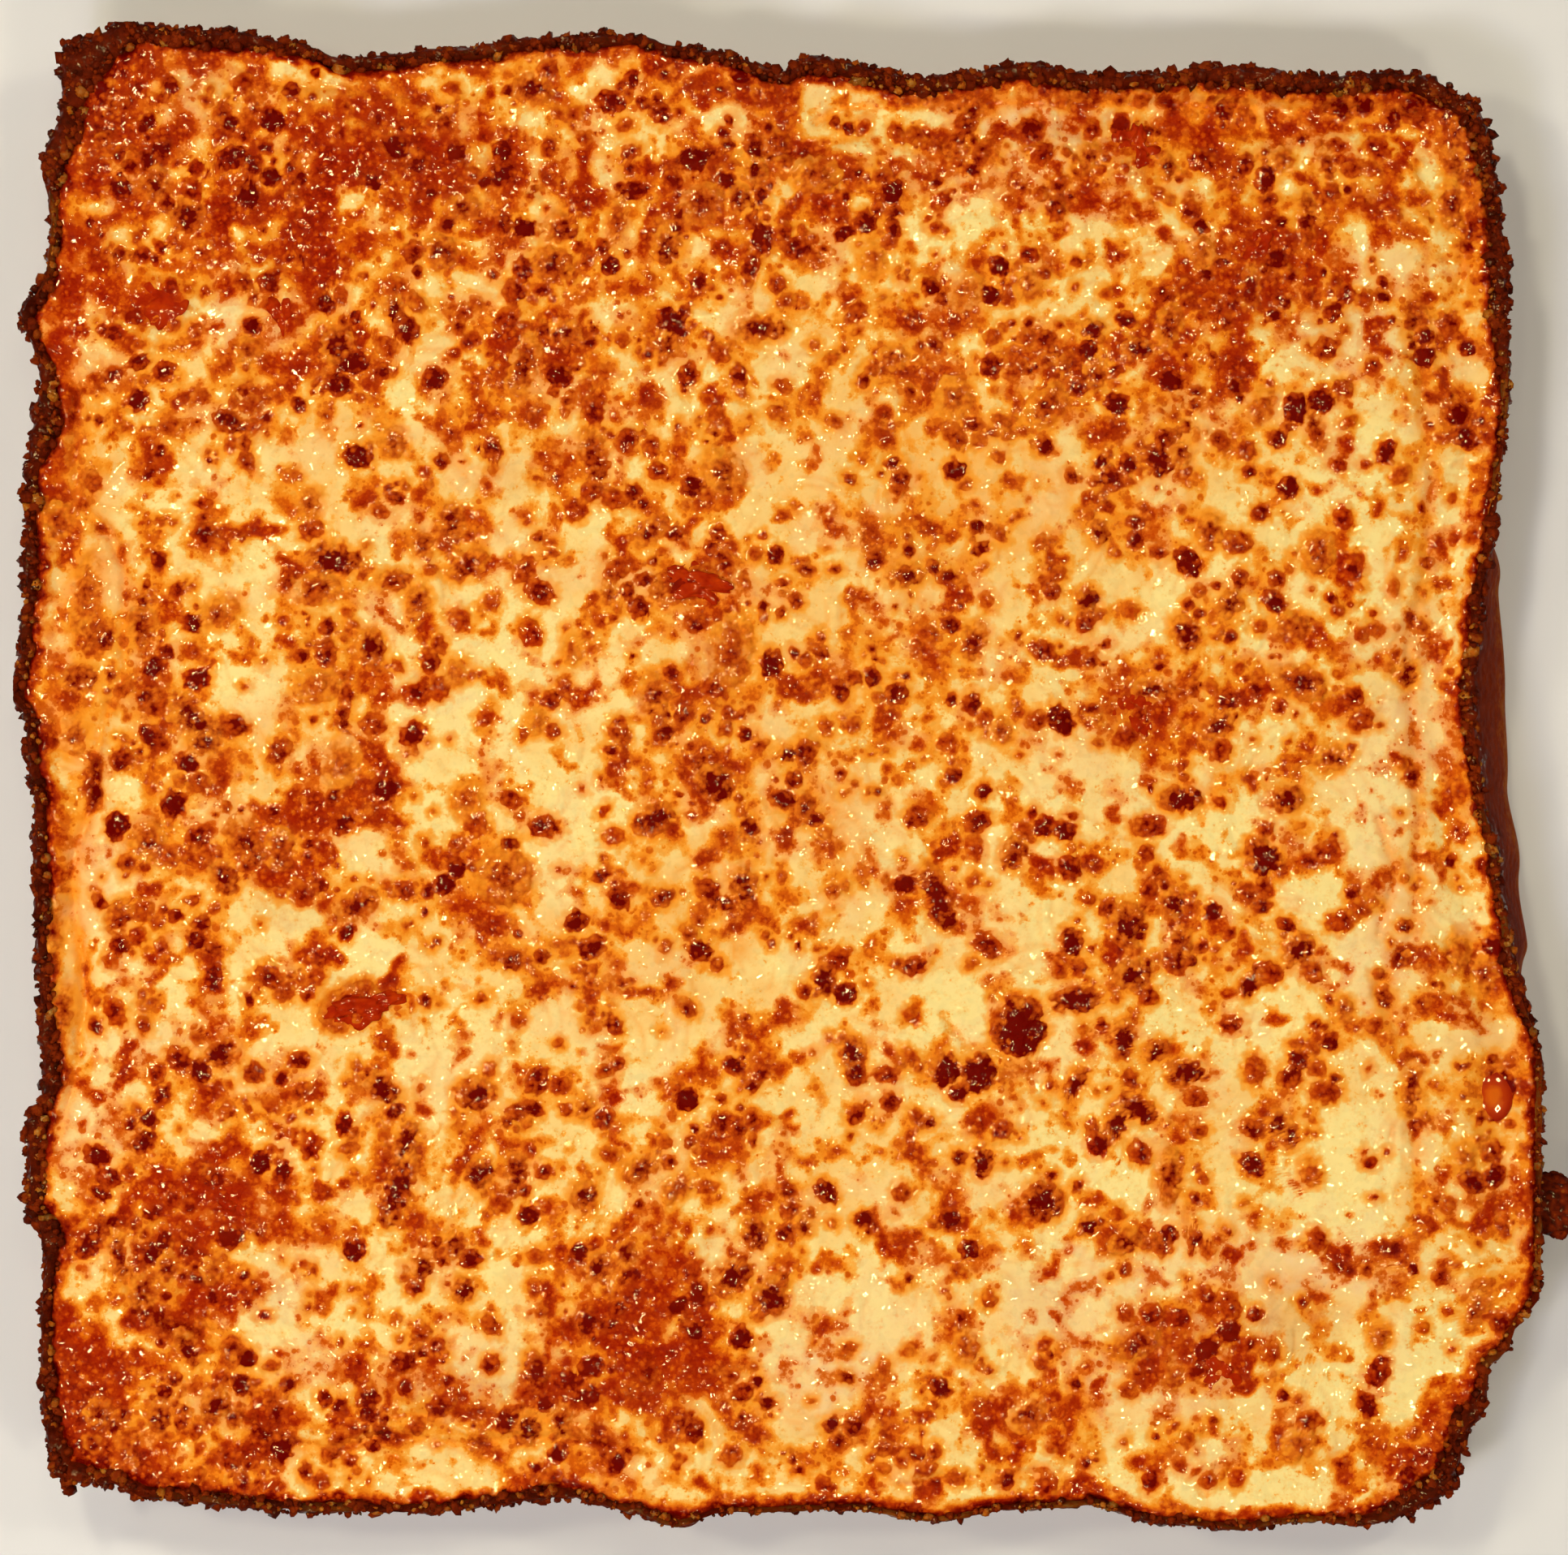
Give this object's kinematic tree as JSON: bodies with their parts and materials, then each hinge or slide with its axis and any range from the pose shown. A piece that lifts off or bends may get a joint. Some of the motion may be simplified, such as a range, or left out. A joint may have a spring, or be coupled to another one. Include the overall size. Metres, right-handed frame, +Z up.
{
  "type": "square pan pizza",
  "caption": "Whole square pan pizza with a thick bread base, a dark crisp cheese rim and a browned, blistered cheese top over tomato sauce.",
  "frame": {"origin": "middle of the bounding box in plan, at the height of the flat baked base", "axes": "+Z up out of the cheese, +X towards the side with the jutting scrap of crisp cheese, +Y towards the side whose rim is widest"},
  "size_m": [0.3108, 0.298, 0.0264],
  "materials": {
    "crust": "baked bread, dark and crisp at the rim",
    "sauce": "wet tomato sauce",
    "cheese": "melted browned cheese with a film of oil"
  },
  "bodies": {
    "root": {"crust": "crust", "sauce": "sauce", "cheese": "cheese"}
  },
  "joints": []
}
